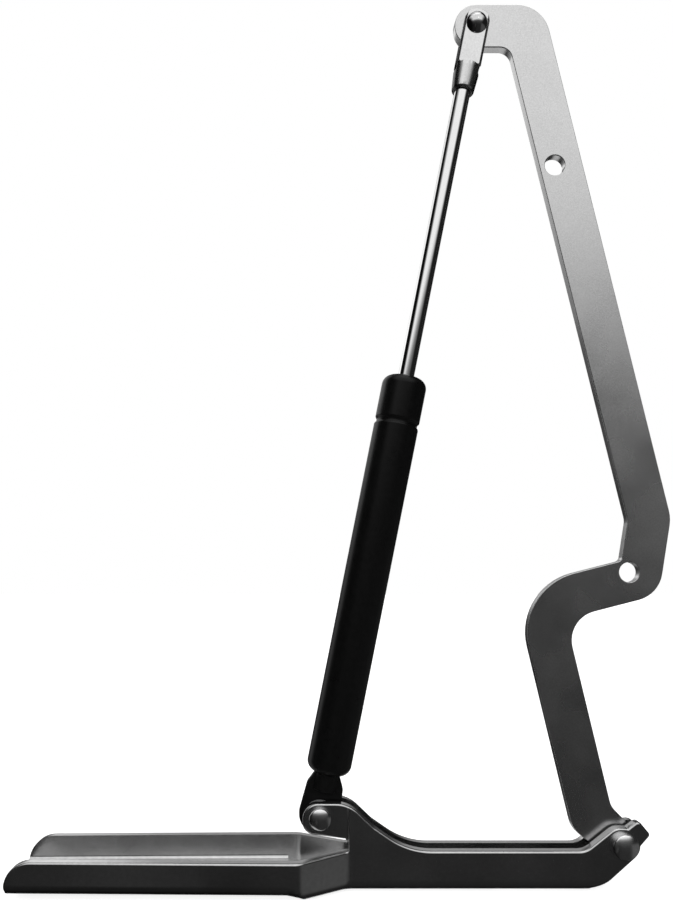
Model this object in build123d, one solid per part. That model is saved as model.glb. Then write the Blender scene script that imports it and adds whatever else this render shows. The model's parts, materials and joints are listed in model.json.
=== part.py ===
"""Lid stay: a tray-shaped lever, a goosenecked crank arm and a small gas strut, pinned in a triangle.

Millimetres, +Z up. The stay stands on the underside of its lever, arm raised. The origin is on that
underside, in the middle plane, straight below the pivot of the gas strut. X runs along the lever towards
the arm's pivot, and Y runs across the sheets.
"""
import os
from math import atan2, degrees, hypot, radians, tan

from build123d import *

# Driving dimensions
lever_sheet = 2.5            # steel sheet of the folded lever
arm_plate = 2.5              # steel plate of the crank arm
side_play = 0.3              # air on each side of the arm between the ears of the fork
washer_thickness = 0.55      # between the lever's cheeks and the plates that swing in it
washer_play = 0.1            # air on each side of a washer
washer_radius = 4.0
running_play = 0.05          # radial air of a hinge pin, the rod in its guide and the piston in its tube
strut_pivot = (0.0, 19.8)    # X and Z of the strut's rivet in the lever
arm_pivot = (80.32, 12.5)    # X and Z of the arm's rivet in the lever
clevis_pivot = (42.0, 231.5)  # X and Z of the clevis pin with the arm fully open
arm_width = 11.4
foot_width = 10.4            # of the arm, at its pivot
hole_diameter = 5.4          # both fixing holes of the arm
tray_end = -81.4             # X of the tray's open end
tray_half_width = 12.3       # at the flare, over the sheet
tray_taper = 1.3             # how much narrower each side is at the open end
tray_height = 10.6           # to the top of the tray's sides
tray_rise = 1.5              # the tray's underside lies this much above the channel's
waist_height = 10.95
heel_slot = 34.0             # how far the floor is cut back from the arm's pivot, for the arm's heel
shank_reach = (8.25, 86.6)   # from the arm's pivot to the lower end of its long straight shank
kick_reach = (5.85, 70.8)    # to the kick below the shank
neck_reach = (-21.0, 63.9)   # to the bend of the gooseneck
heel_reach = (-7.1, 6.3)     # to the heel
hook_reach = 13.55           # from the clevis pin to the bend at the top
upper_hole = (63.2, 194.1)   # X and Z of the fixing holes with the arm fully open
lower_hole = (83.2, 84.8)
tube_diameter = 12.0
tube_wall = 0.9
rod_diameter = 4.3
rod_seat = 4.6               # how deep the rod sits in the clevis
clevis_diameter = 7.5
eye_radius = 5.5
eye_shoulder = 4.9
eye_neck = 3.3
clevis_pin_radius = 1.8
strut_rivet_radius = 2.0
arm_rivet_radius = 2.2
flare_start = -5.6           # X where the tray's sides turn in
flare_end = 7.7              # X where they meet the channel

# Derived dimensions
channel_gap = arm_plate + 2 * (washer_thickness + 2 * washer_play)
channel_half = channel_gap / 2 + lever_sheet
fork_inside = arm_plate / 2 + side_play
fork_outside = clevis_diameter / 2 - 1.15
slot_depth = arm_width / 2 + 6.7  # below the pin, where the arm's end swings through as the strut shortens
bend = lever_sheet + 1.0
strut_length = hypot(clevis_pivot[0] - strut_pivot[0], clevis_pivot[1] - strut_pivot[1])
strut_lean = degrees(atan2(clevis_pivot[0] - strut_pivot[0], clevis_pivot[1] - strut_pivot[1]))
strut_place = Pos(strut_pivot[0], 0, strut_pivot[1]) * Rot(0, strut_lean, 0)

# Heights along the strut's own axis, from its lower pivot
tube_bottom = 11.1
clevis_bottom = strut_length - 17.6
rod_showing = 78.6
tube_top = clevis_bottom - rod_showing
tube_groove = tube_top - 12.5


def plate(outline, half_thickness):
    """A flat plate from an outline drawn in X and Z, middle plane on Y = 0."""
    return extrude(Plane.XZ * outline, half_thickness, both=True)


def rounded(corners):
    """A closed outline from corner points, each given as (x, z, radius)."""
    face = make_face(Polyline(*[(x, z) for x, z, _ in corners], close=True))
    for x, z, radius in corners:
        if radius > 0:
            face = fillet(face.vertices().sort_by_distance((x, z))[0], radius)
    return face


def turned(profile):
    """A turned piece from a half profile drawn in X and Z, axis on Z."""
    return revolve(Plane.XZ * profile, Axis.Z)


def dome(radius, height):
    """A low round head, flat side on Z = 0."""
    ball = (radius**2 + height**2) / (2 * height)
    return Pos(0, 0, height - ball) * Sphere(ball) & Pos(0, 0, height / 2) * Cylinder(radius, height)


def across(shape, at):
    """Turn a piece made along Z so that it runs along Y through the point `at` (X and Z)."""
    return Pos(at[0], 0, at[1]) * Rot(90, 0, 0) * shape


def rivet(shank_radius, half_grip, head_radius, head_height):
    """A rivet with a low round head on each side."""
    head = Pos(0, 0, half_grip) * dome(head_radius, head_height)
    return Cylinder(shank_radius, 2 * half_grip) + head + mirror(head, Plane.XY)


def washer(rivet_radius, side, at):
    """A thin washer on a rivet, between one cheek of the lever and the plate that swings there."""
    flat = Cylinder(washer_radius, washer_thickness) - Cylinder(rivet_radius + running_play, washer_thickness)
    return across(Pos(0, 0, side * (channel_gap / 2 - washer_play - washer_thickness / 2)) * flat, at)


# The two rivets of the lever
strut_rivet = across(rivet(strut_rivet_radius, channel_half, 2.9, 2.3), strut_pivot)
arm_rivet = across(rivet(arm_rivet_radius, channel_half, 3.4, 2.4), arm_pivot)


def side_outline():
    """The cheeks of the lever seen from the side: strut ear, low waist and rounded nose."""
    ear_x, ear_z = strut_pivot
    nose_x, nose_z = arm_pivot
    nose = 4.6
    slope = 42
    top = ear_z + 3.8
    knee = top - 6.25
    knee_x = ear_x + 14.3
    rise = nose_z + nose - waist_height
    foot = nose_x + nose - (nose_z - nose * tan(radians(90 - slope) / 2)) / tan(radians(slope))
    return rounded([
        (flare_end, 0, 0),
        (flare_end, ear_z - 5.7, 0),
        (ear_x - 4.6, ear_z - 4.1, 3.2),
        (ear_x - 4.6, top, 4.2),
        (knee_x - 6.25 / 0.95, top, 9.0),
        (knee_x, knee, 6.0),
        (knee_x + (knee - waist_height) / 0.69, waist_height, 20.0),
        (nose_x - 9.9, waist_height, 5.0),
        (nose_x - 9.9 + rise / 0.8, waist_height + rise, 4.0),
        (nose_x + nose, nose_z + nose, nose * 0.98),
        (nose_x + nose, nose_z - nose * tan(radians(90 - slope) / 2), nose * 0.98),
        (foot, 0, 14.0),
    ])


def plan_outline(inset, convex, hollow):
    """Half-open plan of the folded sheet: tray, flare and channel, `inset` from its outside."""
    end = arm_pivot[0] + 12
    tray = tray_half_width - inset
    channel = channel_half - inset
    narrow = tray - tray_taper
    return rounded([
        (tray_end - inset, -narrow, 0),
        (flare_start, -tray, convex),
        (flare_end, -channel, hollow),
        (end, -channel, 0),
        (end, channel, 0),
        (flare_end, channel, hollow),
        (flare_start, tray, convex),
        (tray_end - inset, narrow, 0),
    ])


def trough(inset, convex, hollow, corner):
    """The plan extruded upwards, with its long bottom edges rounded to the radius `corner`."""
    body = extrude(plan_outline(inset, convex, hollow), strut_pivot[1] + 8)
    long_edges = body.faces().sort_by(Axis.Z)[0].edges()
    long_edges = long_edges.filter_by(lambda e: abs(e.center().X - tray_end + inset) > 1)
    long_edges = long_edges.filter_by(lambda e: abs(e.center().X - arm_pivot[0] - 12) > 1)
    return fillet(long_edges, corner)


def make_lever():
    """One folded sheet: open tray, flare and narrow channel with two ears and a beaked nose."""
    ramp_start = flare_start - 3.0   # X where the floor starts to step down from the tray to the channel
    ramp_end = -1.5
    outside = trough(0, 5.5, 5.0, bend)
    shell = Pos(0, 0, tray_rise) * outside & Pos(ramp_start - 100, 0, 0) * Box(200, 100, 200)
    section = shell.faces().sort_by(Axis.X)[-1]
    ramp = Solid.extrude(section, Vector(ramp_end - ramp_start, 0, -tray_rise))
    shell += outside & ramp
    shell += outside & Pos(ramp_end + 100, 0, 0) * Box(200, 100, 200)
    hollow = trough(lever_sheet, 3.0, 7.5, bend - lever_sheet)
    over_ramp = rounded([
        (ramp_start, tray_rise + lever_sheet, 0),
        (ramp_end, lever_sheet, 0),
        (arm_pivot[0] + 20, lever_sheet, 0),
        (arm_pivot[0] + 20, 60, 0),
        (ramp_start, 60, 0),
    ])
    shell -= Pos(0, 0, lever_sheet + tray_rise) * hollow
    shell -= Pos(0, 0, lever_sheet) * hollow & plate(over_ramp, tray_half_width)
    side = side_outline()
    tray_side = rounded([
        (tray_end, tray_rise, 1.5),
        (tray_end, tray_height, 7.0),
        (flare_start, tray_height, 0),
        (flare_end, tray_height + 0.4, 0),
        (flare_end, 0, 0),
        (ramp_start - 8, 0, 0),
        (ramp_start - 8, tray_rise, 0),
    ])
    behind_flare = Pos(flare_end + 50, 50) * Rectangle(100, 100)
    body = shell & plate(tray_side + (side & behind_flare), tray_half_width + 1)
    ears = plate(side, channel_half) - plate(side, channel_gap / 2)
    ears = ears & Pos(flare_end - 10, 0, strut_pivot[1] + 4) * Box(22, 30, 20)
    nose_x, nose_z = arm_pivot
    beak = rounded([
        (nose_x, nose_z, 0),
        (nose_x + 1.2, nose_z + 4.5, 0),
        (nose_x + 4.0, nose_z + 6.6, 1.2),
        (nose_x + 7.2, nose_z + 2.8, 0.9),
        (nose_x + 4.4, nose_z - 0.4, 0),
    ])
    lug = rounded([
        (nose_x, nose_z, 0),
        (nose_x + 1.2, nose_z + 4.4, 0),
        (nose_x + 6.4, nose_z + 5.2, 2.2),
        (nose_x + 6.2, nose_z + 0.8, 1.5),
        (nose_x + 4.4, nose_z - 0.4, 0),
    ])
    cheek_middle = channel_gap / 2 + lever_sheet / 2
    beak_plate = Pos(0, -cheek_middle, 0) * plate(beak, lever_sheet / 2)
    lug_plate = Pos(0, cheek_middle, 0) * plate(lug, lever_sheet / 2)
    slot_start = nose_x - heel_slot
    heel_room = Pos(slot_start + 30, 0, 0) * Box(60, channel_gap, 3 * lever_sheet)
    lever = body + ears + beak_plate + lug_plate - heel_room
    lever = lever - across(Cylinder(strut_rivet_radius, 40), strut_pivot)
    return lever - across(Cylinder(arm_rivet_radius, 40), arm_pivot)


def mitre(path, index, half):
    """The corner of a strip of half width `half` at one point of its centreline."""
    here = Vector(*path[index])
    before = here - Vector(*path[index - 1]) if index > 0 else Vector(*path[1]) - here
    after = Vector(*path[index + 1]) - here if index < len(path) - 1 else before
    one = Vector(-before.Y, before.X).normalized()
    two = Vector(-after.Y, after.X).normalized()
    shift = (one + two) * (half / (1 + one.dot(two)))
    return here.X + shift.X, here.Y + shift.Y


def make_arm():
    """A stamped strip: hooked foot at its pivot, gooseneck bay for the folded strut, long shank, bent top."""
    top = clevis_pivot[1]
    foot_x, foot_z = arm_pivot
    path = [
        clevis_pivot,
        (clevis_pivot[0] + hook_reach, top),
        (foot_x + shank_reach[0], foot_z + shank_reach[1]),
        (foot_x + kick_reach[0], foot_z + kick_reach[1]),
        (foot_x + neck_reach[0], foot_z + neck_reach[1]),
        (foot_x + heel_reach[0], foot_z + heel_reach[1]),
        arm_pivot,
    ]
    halves = [arm_width / 2] * 6 + [foot_width / 2]
    outer_radii = [0, 9.0, 10.0, 8.5, 8.0, 5.0, 0]
    inner_radii = [0, 3.5, 5.0, 1.5, 16.5, 7.0, 0]
    outer = [(*mitre(path, i, halves[i]), r) for i, r in enumerate(outer_radii)]
    inner = [(*mitre(path, i, -halves[i]), r) for i, r in enumerate(inner_radii)]
    outline = rounded(outer + inner[::-1])
    outline += Pos(*clevis_pivot) * Circle(arm_width / 2)
    outline += Pos(*arm_pivot) * Circle(foot_width / 2)
    outline -= Pos(*upper_hole) * Circle(hole_diameter / 2)
    outline -= Pos(*lower_hole) * Circle(hole_diameter / 2)
    outline -= Pos(*clevis_pivot) * Circle(clevis_pin_radius + running_play)
    outline -= Pos(*arm_pivot) * Circle(arm_rivet_radius + running_play)
    return plate(outline, arm_plate / 2)


def make_eye():
    """The strut's lower end: a flat eye between the ears and a round shank under the tube."""
    neck = eye_neck
    shoulder = tube_bottom - 3.3
    outline = Circle(eye_radius) + rounded([
        (-eye_radius, 0, 0),
        (-eye_shoulder, shoulder, 3.0),
        (-neck, tube_bottom, 0),
        (neck, tube_bottom, 0),
        (eye_shoulder, shoulder, 3.0),
        (eye_radius, 0, 0),
    ])
    shank_height = tube_bottom - eye_radius - 1
    shank = Pos(0, 0, tube_bottom - shank_height / 2) * Cylinder(neck, shank_height)
    eye = plate(outline, arm_plate / 2) + shank
    return strut_place * (eye - across(Cylinder(strut_rivet_radius + running_play, 20), (0, 0)))


def make_tube():
    """A drawn tube with a closed round bottom, a rolled-in groove and a rolled-over top."""
    radius = tube_diameter / 2
    outside = turned(rounded([
        (0, tube_bottom, 0),
        (radius, tube_bottom, 3.0),
        (radius, tube_groove - 0.9, 0),
        (radius - groove_depth, tube_groove - 0.35, 0),
        (radius - groove_depth, tube_groove + 0.35, 0),
        (radius, tube_groove + 0.9, 0),
        (radius, tube_top, 2.5),
        (0, tube_top, 0),
    ]))
    inside = turned(rounded([
        (0, tube_bottom + tube_wall + 0.6, 0),
        (bore, tube_bottom + tube_wall + 0.6, 2.0),
        (bore, tube_groove - groove_reach, 0),
        (bore - groove_depth, tube_groove - 0.5, 0),
        (bore - groove_depth, tube_groove + 0.5, 0),
        (bore, tube_groove + groove_reach, 0),
        (bore, tube_top - tube_wall, 0),
        (0, tube_top - tube_wall, 0),
    ]))
    mouth = Pos(0, 0, tube_top) * Cylinder(rod_diameter / 2 + 0.25, 4 * tube_wall)
    return strut_place * (outside - inside - mouth)


def ring(outer, inner, low, high):
    """A plain ring on the strut's axis."""
    middle = (low + high) / 2
    return strut_place * (Pos(0, 0, middle) * (Cylinder(outer, high - low) - Cylinder(inner, high - low)))


bore = tube_diameter / 2 - tube_wall
rod_radius = rod_diameter / 2
groove_depth = tube_wall / 2
groove_reach = 1.1           # half the width of the ridge that the groove raises inside
stack_low = tube_groove + groove_reach
stack_high = tube_top - tube_wall
washer_top = stack_low + 1.2
seal_top = washer_top + 3.2
guide_bore = rod_radius + running_play
piston_top = tube_groove - groove_reach - 0.6
piston_bottom = piston_top - 5.0
stud_radius = 1.5


def make_rod():
    """The ground rod, with a thinner end that carries the piston."""
    rod_top = clevis_bottom + rod_seat
    full = Pos(0, 0, (piston_top + rod_top) / 2) * Cylinder(rod_radius, rod_top - piston_top)
    stud_low = piston_bottom - 2.6
    stud = Pos(0, 0, (stud_low + piston_top) / 2) * Cylinder(stud_radius, piston_top - stud_low)
    return strut_place * (full + stud)


def make_piston():
    """The piston, with a groove for its ring."""
    low, high = piston_bottom, piston_top
    body = Pos(0, 0, (low + high) / 2) * Cylinder(bore - running_play, high - low)
    seat = Cylinder(bore, 1.6) - Cylinder(bore - 1.1, 1.6)
    body = body - Pos(0, 0, (low + high) / 2) * seat
    return strut_place * (body - Pos(0, 0, low) * Cylinder(stud_radius, 30))


def make_clevis():
    """A turned fork: two flats outside, a slot for the arm, and a tapered neck bored for the rod."""
    radius = clevis_diameter / 2
    neck_top = strut_length - 10.8
    top = strut_length + radius
    bar = Pos(0, 0, (neck_top + top) / 2) * Cylinder(radius, top - neck_top)
    neck = turned(rounded([
        (0, clevis_bottom, 0),
        (radius - 1.15, clevis_bottom, 0),
        (radius - 0.75, clevis_bottom + 0.4, 0),
        (radius - 0.2, neck_top, 0),
        (0, neck_top, 0),
    ]))
    head = Pos(0, strut_length) * Circle(radius)
    head += Pos(0, (neck_top + strut_length) / 2) * Rectangle(3 * radius, strut_length - neck_top)
    fork = (bar & plate(head, fork_outside)) + neck
    slot_low = strut_length - slot_depth
    fork = fork - Pos(0, 0, (slot_low + top) / 2 + 1) * Box(3 * radius, 2 * fork_inside, top - slot_low + 2)
    fork = fork - Pos(0, 0, clevis_bottom) * Cylinder(rod_radius, 2 * rod_seat)
    pin_hole = across(Cylinder(clevis_pin_radius, 20), (0, strut_length))
    return strut_place * (fork - pin_hole)



def make_clevis_pin(side):
    """One end of the clevis pin with its round head, seated in one ear of the fork."""
    length = fork_outside - fork_inside
    shank = Pos(0, 0, fork_inside + length / 2) * Cylinder(clevis_pin_radius, length)
    end = shank + Pos(0, 0, fork_outside) * dome(2.95, 1.7)
    return across(end if side < 0 else mirror(end, Plane.XY), clevis_pivot)


pieces = {
    "lever": make_lever(),
    "strut_rivet": strut_rivet,
    "arm_rivet": arm_rivet,
    "strut_washer_front": washer(strut_rivet_radius, 1, strut_pivot),
    "strut_washer_back": washer(strut_rivet_radius, -1, strut_pivot),
    "arm_washer_front": washer(arm_rivet_radius, 1, arm_pivot),
    "arm_washer_back": washer(arm_rivet_radius, -1, arm_pivot),
    "crank_arm": make_arm(),
    "strut_eye": make_eye(),
    "cylinder_tube": make_tube(),
    "seal_washer": ring(bore, guide_bore, stack_low, washer_top),
    "rod_seal": ring(bore, guide_bore, washer_top, seal_top),
    "rod_guide": ring(bore, guide_bore, seal_top, stack_high),
    "piston_rod": make_rod(),
    "piston": make_piston(),
    "piston_ring": ring(
        bore - running_play, bore - 1.1, (piston_bottom + piston_top) / 2 - 0.8, (piston_bottom + piston_top) / 2 + 0.8
    ),
    "piston_nut": ring(3.0, stud_radius, piston_bottom - 2.0, piston_bottom),
    "clevis": make_clevis(),
    "clevis_pin_front": make_clevis_pin(-1),
    "clevis_pin_back": make_clevis_pin(1),
}

os.makedirs("parts", exist_ok=True)
for name, piece in pieces.items():
    export_step(piece, f"parts/{name}.step")
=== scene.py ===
import json
import math
import bpy
import bmesh
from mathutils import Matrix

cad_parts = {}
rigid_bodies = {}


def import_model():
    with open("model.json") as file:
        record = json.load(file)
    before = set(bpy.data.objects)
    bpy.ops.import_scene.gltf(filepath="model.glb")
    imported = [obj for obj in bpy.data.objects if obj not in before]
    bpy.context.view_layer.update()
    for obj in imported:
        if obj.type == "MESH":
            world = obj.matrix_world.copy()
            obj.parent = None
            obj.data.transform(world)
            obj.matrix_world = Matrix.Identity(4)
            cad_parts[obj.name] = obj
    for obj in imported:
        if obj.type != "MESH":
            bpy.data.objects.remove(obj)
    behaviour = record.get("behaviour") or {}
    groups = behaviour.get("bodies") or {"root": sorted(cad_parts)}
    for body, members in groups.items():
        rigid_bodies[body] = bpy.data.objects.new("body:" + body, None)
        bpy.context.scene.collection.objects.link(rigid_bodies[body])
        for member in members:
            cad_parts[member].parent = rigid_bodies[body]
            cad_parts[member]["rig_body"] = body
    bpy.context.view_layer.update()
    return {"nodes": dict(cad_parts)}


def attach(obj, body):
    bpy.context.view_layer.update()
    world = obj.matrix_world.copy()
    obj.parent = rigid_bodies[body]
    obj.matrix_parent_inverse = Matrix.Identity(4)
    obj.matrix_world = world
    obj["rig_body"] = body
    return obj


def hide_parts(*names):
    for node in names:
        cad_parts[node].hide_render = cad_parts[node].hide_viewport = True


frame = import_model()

nodes = frame["nodes"]

# ---------------------------------------------------------------------------
# The table.
# A pale matt board, lit evenly enough that its edge melts into the white wall;
# the stay's flat underside lies on it.
# ---------------------------------------------------------------------------
table_width = 6.0
table_drop = 0.0002
table_white = 0.9
table_roughness = 0.9
table_glow = 0.85

bpy.ops.mesh.primitive_grid_add(x_subdivisions=2, y_subdivisions=2, size=table_width, location=(0, 0, 0))
table = bpy.context.object
table.name = "table"
table.location.z = -table_drop
table.visible_glossy = False
pale = bpy.data.materials.new("pale_matt")
pale.use_nodes = True
pale_shader = pale.node_tree.nodes["Principled BSDF"]
pale_shader.inputs["Base Color"].default_value = (table_white, table_white, table_white, 1)
pale_shader.inputs["Roughness"].default_value = table_roughness
pale_shader.inputs["Emission Color"].default_value = (1, 1, 1, 1)
pale_shader.inputs["Emission Strength"].default_value = table_glow
table.data.materials.append(pale)

# ---------------------------------------------------------------------------
# The studio.
# A dark room with soft lights, so that flat steel goes from dark to bright
# upwards. The viewer sees a white wall; only the pieces see the lights.
# ---------------------------------------------------------------------------
studio = bpy.data.worlds.new("studio")
bpy.context.scene.world = studio
bpy.context.scene.view_settings.view_transform = "Standard"
studio.use_nodes = True
sky = studio.node_tree
sky.nodes.clear()
sky_place = sky.nodes.new("ShaderNodeTexCoord")
sky_axes = sky.nodes.new("ShaderNodeSeparateXYZ")
sky.links.new(sky_place.outputs["Generated"], sky_axes.inputs["Vector"])


def combined(tree, operation, *parts):
    """One number out of others by a sum, a product or the like."""
    node = tree.nodes.new("ShaderNodeMath")
    node.operation = operation
    for socket, part in zip(node.inputs, parts):
        if isinstance(part, float):
            socket.default_value = part
        else:
            tree.links.new(part, socket)
    return node.outputs[0]


def remapped(tree, value, low, high, start=0.0, end=1.0, blend="LINEAR"):
    """A value that runs from `start` to `end` brought to run from `low` to `high`."""
    node = tree.nodes.new("ShaderNodeMapRange")
    node.interpolation_type = blend
    node.inputs["From Min"].default_value = start
    node.inputs["From Max"].default_value = end
    node.inputs["To Min"].default_value = low
    node.inputs["To Max"].default_value = high
    tree.links.new(value, node.inputs["Value"])
    return node.outputs["Result"]


def fade(axis, dark, lit):
    """A soft edge of a light: 0 before `dark` and 1 after `lit` along one axis of the room."""
    low, high = (0.0, 1.0) if dark < lit else (1.0, 0.0)
    return remapped(sky, sky_axes.outputs[axis], low, high, min(dark, lit), max(dark, lit), "SMOOTHSTEP")


def light(strength, *edges):
    """One soft light, as bright as `strength` where all its edges let it through."""
    for edge in edges:
        strength = combined(sky, "MULTIPLY", edge, strength)
    return strength


# Brightness of the big lights by height in the room, from the floor at -1 to overhead at 1.
rise_stops = [
    (-1.0, 0.01), (-0.3, 0.012), (-0.1, 0.03), (0.0, 0.045), (0.1, 0.06), (0.2, 0.12),
    (0.27, 0.25), (0.32, 0.5), (0.37, 0.85), (0.42, 1.1), (1.0, 1.1),
]
ready_stops = 2
rise_ramp = sky.nodes.new("ShaderNodeValToRGB")
for number, (height, value) in enumerate(rise_stops):
    place = height / 2 + 0.5
    ramp = rise_ramp.color_ramp.elements
    stop = ramp[number] if number < ready_stops else ramp.new(place)
    stop.position = place
    stop.color = (value, value, value, 1)
sky.links.new(remapped(sky, sky_axes.outputs["Z"], 0.0, 1.0, start=-1.0), rise_ramp.inputs["Fac"])
rise = rise_ramp.outputs["Color"]

# The light overhead is weaker to the left, above the tray. The room has a faint glow of its own.
overhead = combined(sky, "ADD", combined(sky, "MULTIPLY", fade("X", -0.08, 0.0), 0.4), 0.6)
room_glow = combined(sky, "ADD", combined(sky, "MULTIPLY", fade("X", -0.12, -0.02), 0.011), 0.004)
lights = [
    # A wide light in front, bright from a third of the way up.
    light(rise, fade("Y", 0.0, -0.25), fade("X", -0.75, -0.45), fade("X", 0.8, 0.5)),
    # A round light overhead, for the rims and the rivets' heads.
    light(overhead, fade("Z", 0.90, 0.96)),
    # Left and right of the object.
    light(0.6, fade("X", -0.55, -0.75), fade("Y", 0.25, 0.45)),
    light(0.08, fade("X", 0.5, 0.75), fade("Z", 0.0, -0.15)),
    # Behind it: a band that the cheeks' narrow top faces catch.
    light(0.5, fade("Y", 0.75, 0.9), fade("Z", 0.05, 0.3), fade("Z", 0.55, 0.45)),
    # Behind and to the left, for the arm's edge faces.
    light(rise, fade("X", -0.15, -0.3), fade("Y", 0.3, 0.5)),
    # Behind and low, for the underside of the arm's kick.
    light(0.8, fade("Y", 0.6, 0.75), fade("Z", -0.42, -0.52)),
    # In front and low, for a faint patch on the tray's front wall.
    light(0.045, fade("X", -0.17, -0.23), fade("X", -0.33, -0.26), fade("Z", -0.15, -0.3), fade("Y", -0.7, -0.85)),
]
for lamp in lights:
    room_glow = combined(sky, "ADD", lamp, room_glow)

sky_light = sky.nodes.new("ShaderNodeBackground")
sky_wall = sky.nodes.new("ShaderNodeBackground")
sky_path = sky.nodes.new("ShaderNodeLightPath")
sky_pick = sky.nodes.new("ShaderNodeMixShader")
sky_out = sky.nodes.new("ShaderNodeOutputWorld")
sky_light.inputs["Color"].default_value = (1, 1, 1, 1)
sky_wall.inputs["Color"].default_value = (1, 1, 1, 1)
sky.links.new(room_glow, sky_light.inputs["Strength"])
sky.links.new(sky_path.outputs["Is Camera Ray"], sky_pick.inputs[0])
sky.links.new(sky_light.outputs[0], sky_pick.inputs[1])
sky.links.new(sky_wall.outputs[0], sky_pick.inputs[2])
sky.links.new(sky_pick.outputs[0], sky_out.inputs["Surface"])

# ---------------------------------------------------------------------------
# The camera.
# It stands close in front of the stay, level with the middle of the tube, and
# its lens is shifted up and to the right, so that upright lines stay upright.
# ---------------------------------------------------------------------------
camera_place = (-0.0052, -0.200, 0.0840)
camera_data = bpy.data.cameras.new("camera")
camera = bpy.data.objects.new("camera", camera_data)
bpy.context.scene.collection.objects.link(camera)
camera.location = camera_place
camera.rotation_euler = (math.radians(90), 0, 0)
camera_data.sensor_fit = "HORIZONTAL"
camera_data.sensor_width = 36.0
camera_data.lens = 39.6
camera_data.shift_x = 0.054
camera_data.shift_y = 0.186
camera_data.clip_start = 0.01
bpy.context.scene.camera = camera

# ---------------------------------------------------------------------------
# The lever.
# One blank of nickel-plated sheet, folded up into a channel with two cheeks
# and, past the flare, into an open tray; its cut edges are tumbled smooth.
# ---------------------------------------------------------------------------
cheek_face = 0.0045
ear_step_from = 0.0044
ear_step_to = 0.0048
ear_root_from = 0.0076
ear_root_to = 0.0094
ear_root_height = 0.0108

merge_distance = 0.00008
flat_angle = 0.4
side_slope = 0.7
rounding_steps = 3
face_weight = 100
relief_depth = 0.0001


def worn_copy(node, name, rounding, corner=35.0, press=None):
    """A copy of a node on the same body, with its edges past `corner` degrees rounded.

    A folded sheet goes through `press` first, and is rounded on its outside only.
    """
    shape = bmesh.new()
    shape.from_mesh(nodes[node].data)
    if press:
        press(shape)
    bmesh.ops.remove_doubles(shape, verts=shape.verts, dist=merge_distance)
    bmesh.ops.dissolve_limit(shape, angle_limit=math.radians(flat_angle), verts=shape.verts, edges=shape.edges)
    for face in shape.faces:
        face.smooth = True
    share = shape.edges.layers.float.new("bevel_weight_edge")
    for line in shape.edges:
        if line.calc_face_angle(0) < math.radians(corner):
            continue
        side = line.verts[0].co.y
        slopes = [face.normal.y for face in line.link_faces]
        outside = any(slope * side > 0 and abs(slope) > side_slope for slope in slopes)
        if outside or not press:
            line[share] = 1.0
        else:
            line.smooth = False
    mesh = bpy.data.meshes.new(name)
    shape.to_mesh(mesh)
    shape.free()

    piece = bpy.data.objects.new(name, mesh)
    bpy.context.scene.collection.objects.link(piece)
    bevel = piece.modifiers.new("rounding", "BEVEL")
    bevel.width = rounding
    bevel.segments = rounding_steps
    bevel.limit_method = "WEIGHT"
    bevel.use_clamp_overlap = False
    even = piece.modifiers.new("even", "WEIGHTED_NORMAL")
    even.mode = "FACE_AREA"
    even.weight = face_weight
    even.keep_sharp = True
    finished = bpy.data.meshes.new_from_object(piece.evaluated_get(bpy.context.evaluated_depsgraph_get()))
    piece.modifiers.clear()
    piece.data = finished
    finished.materials.clear()
    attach(piece, nodes[node]["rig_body"])
    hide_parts(node)
    return piece


def press_ears(shape):
    """The ears' outer faces lie flat with the cheeks where the flare runs into them."""
    for vertex in shape.verts:
        at_root = ear_root_from < vertex.co.x < ear_root_to and vertex.co.z > ear_root_height
        if at_root and ear_step_from < abs(vertex.co.y) < ear_step_to:
            vertex.co.y = math.copysign(cheek_face, vertex.co.y)


def noise(tree, scale, detail):
    """A cloudy pattern on the piece's own coordinates."""
    place = tree.nodes.new("ShaderNodeTexCoord")
    pattern = tree.nodes.new("ShaderNodeTexNoise")
    pattern.inputs["Scale"].default_value = scale
    pattern.inputs["Detail"].default_value = detail
    tree.links.new(place.outputs["Object"], pattern.inputs["Vector"])
    return pattern.outputs["Fac"]


def raised(tree, pattern, strength):
    """A shallow relief of the pattern."""
    relief = tree.nodes.new("ShaderNodeBump")
    relief.inputs["Strength"].default_value = strength
    relief.inputs["Distance"].default_value = relief_depth
    tree.links.new(pattern, relief.inputs["Height"])
    return relief.outputs["Normal"]


def steel(name, grey, roughness, grain, relief=0.02, spread=0.06):
    """Bare or plated steel: fine grain, cloudy patches, and a little relief."""
    metal = bpy.data.materials.new(name)
    metal.use_nodes = True
    tree = metal.node_tree
    shader = tree.nodes["Principled BSDF"]
    shader.inputs["Metallic"].default_value = 1.0
    fine = noise(tree, scale=grain, detail=4.0)
    cloud = noise(tree, scale=60.0, detail=3.0)
    tone = remapped(tree, fine, grey * (1 - spread), grey * (1 + spread), start=0.3, end=0.7)
    patch = remapped(tree, cloud, 1 - spread, 1 + spread, start=0.3, end=0.7)
    polish = remapped(tree, cloud, roughness * 0.85, roughness * 1.15, start=0.3, end=0.7)
    tree.links.new(combined(tree, "MULTIPLY", tone, patch), shader.inputs["Base Color"])
    tree.links.new(polish, shader.inputs["Roughness"])
    tree.links.new(raised(tree, fine, relief), shader.inputs["Normal"])
    return metal


lever = worn_copy("lever", "lever_sheet", rounding=0.0006, press=press_ears)
lever.data.materials.append(steel("plated_sheet", grey=0.55, roughness=0.22, grain=900.0))

# ---------------------------------------------------------------------------
# The two rivets of the lever.
# Steel rivets with a flat, slightly crowned head on each side, set by a
# spinning tool; the eye and the arm between the cheeks turn on their shanks.
# ---------------------------------------------------------------------------
rim_rounding = 0.0005
rivet_sides = 64
arc_steps = 8
crisp_angle = 40
rivet_steel = steel("rivet_steel", grey=0.85, roughness=0.2, grain=1500.0)


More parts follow.
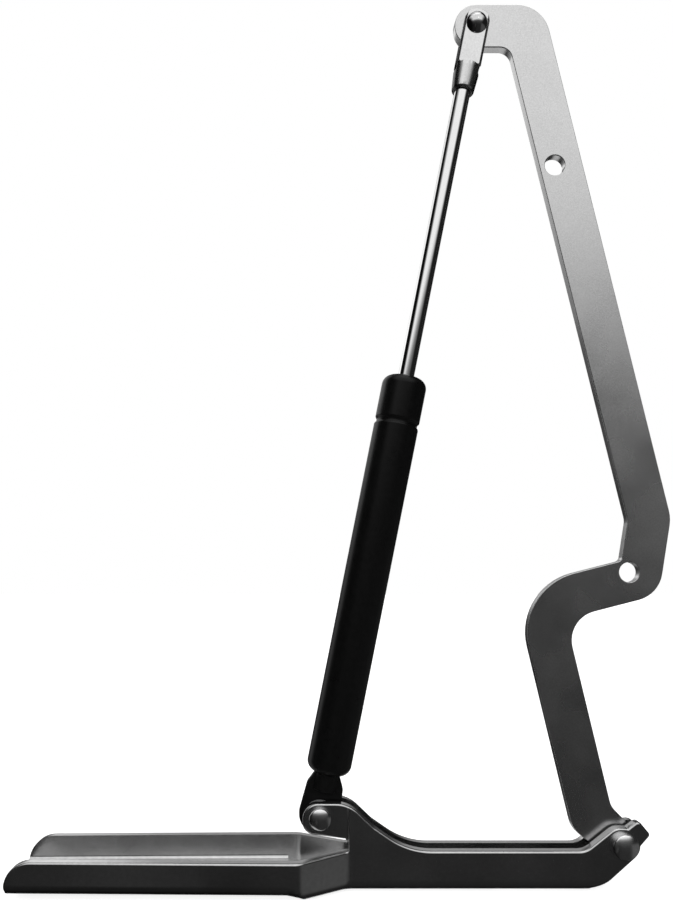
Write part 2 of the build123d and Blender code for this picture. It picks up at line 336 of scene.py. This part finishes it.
def set_rivet(node, shank, head, height, crown):
    """A turned rivet about the node's own centre: crowned faces, rounded rims, straight sides."""
    points = [nodes[node].matrix_world @ vertex.co for vertex in nodes[node].data.vertices]
    middle_x = (min(point.x for point in points) + max(point.x for point in points)) / 2
    middle_z = (min(point.z for point in points) + max(point.z for point in points)) / 2
    ball = (head ** 2 + crown ** 2) / (2 * crown)
    slope = math.asin((head - rim_rounding) / (ball - rim_rounding))
    top = cheek_face + height
    rim_depth = top - ball + (ball - rim_rounding) * math.cos(slope)
    profile = []
    for step in range(arc_steps + 1):
        turn = slope * step / arc_steps
        profile.append((ball * math.sin(turn), top - ball * (1 - math.cos(turn))))
    for step in range(1, arc_steps + 1):
        turn = slope + (math.pi / 2 - slope) * step / arc_steps
        radius = head - rim_rounding + rim_rounding * math.sin(turn)
        profile.append((radius, rim_depth + rim_rounding * math.cos(turn)))
    profile += [(head, cheek_face), (shank, cheek_face)]
    profile += [(radius, -depth) for radius, depth in reversed(profile)]

    shape = bmesh.new()
    rings = []
    for radius, depth in profile:
        if radius == 0:
            rings.append([shape.verts.new((middle_x, -depth, middle_z))] * rivet_sides)
            continue
        ring = []
        for step in range(rivet_sides):
            turn = 2 * math.pi * step / rivet_sides
            place = (middle_x + radius * math.cos(turn), -depth, middle_z + radius * math.sin(turn))
            ring.append(shape.verts.new(place))
        rings.append(ring)
    for one, two in zip(rings, rings[1:]):
        for step in range(rivet_sides):
            corners = (one[step], one[step - 1], two[step - 1], two[step])
            shape.faces.new(list(dict.fromkeys(corners)))
    bmesh.ops.recalc_face_normals(shape, faces=shape.faces)
    for face in shape.faces:
        face.smooth = True
    for edge in shape.edges:
        edge.smooth = edge.calc_face_angle(0) < math.radians(crisp_angle)
    mesh = bpy.data.meshes.new(node + "_set")
    shape.to_mesh(mesh)
    shape.free()
    rivet = bpy.data.objects.new(node + "_set", mesh)
    bpy.context.scene.collection.objects.link(rivet)
    mesh.materials.append(rivet_steel)
    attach(rivet, nodes[node]["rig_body"])
    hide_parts(node)


set_rivet("strut_rivet", shank=0.0020, head=0.0029, height=0.0023, crown=0.0007)
set_rivet("arm_rivet", shank=0.0022, head=0.0034, height=0.0024, crown=0.0008)

# ---------------------------------------------------------------------------
# The crank arm.
# Blanked from bright steel plate, with a hook at the top for the clevis, a
# kick near the lever, and two fixing holes; the faces keep their rolled grain.
# ---------------------------------------------------------------------------
arm = worn_copy("crank_arm", "crank_arm_plate", rounding=0.00022)
arm.data.materials.append(steel("rolled_steel", grey=0.62, roughness=0.27, grain=2600.0, relief=0.05, spread=0.08))

# ---------------------------------------------------------------------------
# The gas strut's body.
# A drawn tube painted gloss black, rolled over at both ends and grooved below
# the rod guide; a black eye fitting is welded into its lower end.
# ---------------------------------------------------------------------------


def paint_or_plastic(name, grey, roughness, gloss=0.5):
    """Paint, plastic or rubber with a faint orange peel."""
    skin = bpy.data.materials.new(name)
    skin.use_nodes = True
    tree = skin.node_tree
    shader = tree.nodes["Principled BSDF"]
    shader.inputs["Specular IOR Level"].default_value = gloss
    peel = noise(tree, scale=700.0, detail=3.0)
    tree.links.new(remapped(tree, peel, grey * 0.7, grey * 1.3), shader.inputs["Base Color"])
    tree.links.new(remapped(tree, peel, roughness * 0.8, roughness * 1.2), shader.inputs["Roughness"])
    tree.links.new(raised(tree, peel, 0.05), shader.inputs["Normal"])
    return skin


tube = worn_copy("cylinder_tube", "strut_tube", rounding=0.0002)
tube.data.materials.append(paint_or_plastic("tube_enamel", grey=0.003, roughness=0.3, gloss=0.2))
eye = worn_copy("strut_eye", "strut_eye_fitting", rounding=0.0003)
eye.data.materials.append(paint_or_plastic("eye_enamel", grey=0.003, roughness=0.45, gloss=0.2))

# ---------------------------------------------------------------------------
# The parts inside the tube.
# Guide, seal, washer, piston, ring and nut, which only show with the tube cut
# open: moulded plastic, rubber and plain turned steel.
# ---------------------------------------------------------------------------
inner_steel = steel("inner_steel", grey=0.45, roughness=0.35, grain=1500.0)
inner_rubber = paint_or_plastic("inner_rubber", grey=0.02, roughness=0.7)
inner_plastic = paint_or_plastic("inner_plastic", grey=0.08, roughness=0.5)
inner_finish = {
    "seal_washer": inner_steel,
    "rod_seal": inner_rubber,
    "rod_guide": inner_plastic,
    "piston": inner_steel,
    "piston_ring": inner_rubber,
    "piston_nut": inner_steel,
}
for node, finish in inner_finish.items():
    nodes[node].data.materials.clear()
    nodes[node].data.materials.append(finish)

# ---------------------------------------------------------------------------
# The washers.
# Four thin nylon rings, punched from sheet, that keep the swinging plates off
# the lever's cheeks.
# ---------------------------------------------------------------------------
nylon = paint_or_plastic("nylon", grey=0.3, roughness=0.5)
for node in ("strut_washer_front", "strut_washer_back", "arm_washer_front", "arm_washer_back"):
    nodes[node].data.materials.clear()
    nodes[node].data.materials.append(nylon)

# ---------------------------------------------------------------------------
# The rod.
# Ground and hard-chromed bar that slides in the tube's guide; its upper end
# is pressed into the clevis.
# ---------------------------------------------------------------------------
rod = worn_copy("piston_rod", "strut_rod", rounding=0.0002)
rod.data.materials.append(steel("rod_chrome", grey=0.75, roughness=0.08, grain=2000.0, relief=0.005, spread=0.02))

# ---------------------------------------------------------------------------
# The clevis and its pin.
# A fork turned from bar, bright on its milled flats and slotted for the
# arm; its round sides carry a painted shade that stands in for the dark room
# they reflect. A pin with a polished round head goes through it.
# ---------------------------------------------------------------------------
# Painted shade on the fork's round sides: their tone is cut to this share near the middle plane, and the painted
# shade fades out between the two depths below.
painted_side_shade_level = 0.12
dark_depth = 0.0018
bright_depth = 0.0025

clevis = worn_copy("clevis", "clevis_fork", rounding=0.0002)
turned_steel_painted_shade = steel("turned_steel_painted_shade", grey=0.7, roughness=0.25, grain=1800.0)
turned = turned_steel_painted_shade.node_tree
turned_place = turned.nodes.new("ShaderNodeTexCoord")
turned_axes = turned.nodes.new("ShaderNodeSeparateXYZ")
turned.links.new(turned_place.outputs["Object"], turned_axes.inputs["Vector"])
# Painted shade: darker where the round sides lie, near the fork's middle plane; full tone on the flats.
turned_depth = combined(turned, "ABSOLUTE", turned_axes.outputs["Y"])
painted_side_shade = remapped(turned, turned_depth, painted_side_shade_level, 1.0, start=dark_depth, end=bright_depth)
turned_colour = turned.nodes["Principled BSDF"].inputs["Base Color"]
shaded_turned_tone = combined(turned, "MULTIPLY", turned_colour.links[0].from_socket, painted_side_shade)
turned.links.new(shaded_turned_tone, turned_colour)
clevis.data.materials.append(turned_steel_painted_shade)
pin_steel = steel("pin_steel", grey=0.6, roughness=0.12, grain=1800.0, relief=0.01)
for node in ("clevis_pin_front", "clevis_pin_back"):
    pin = worn_copy(node, node + "_head", rounding=0.00015, corner=50.0)
    pin.data.materials.append(pin_steel)
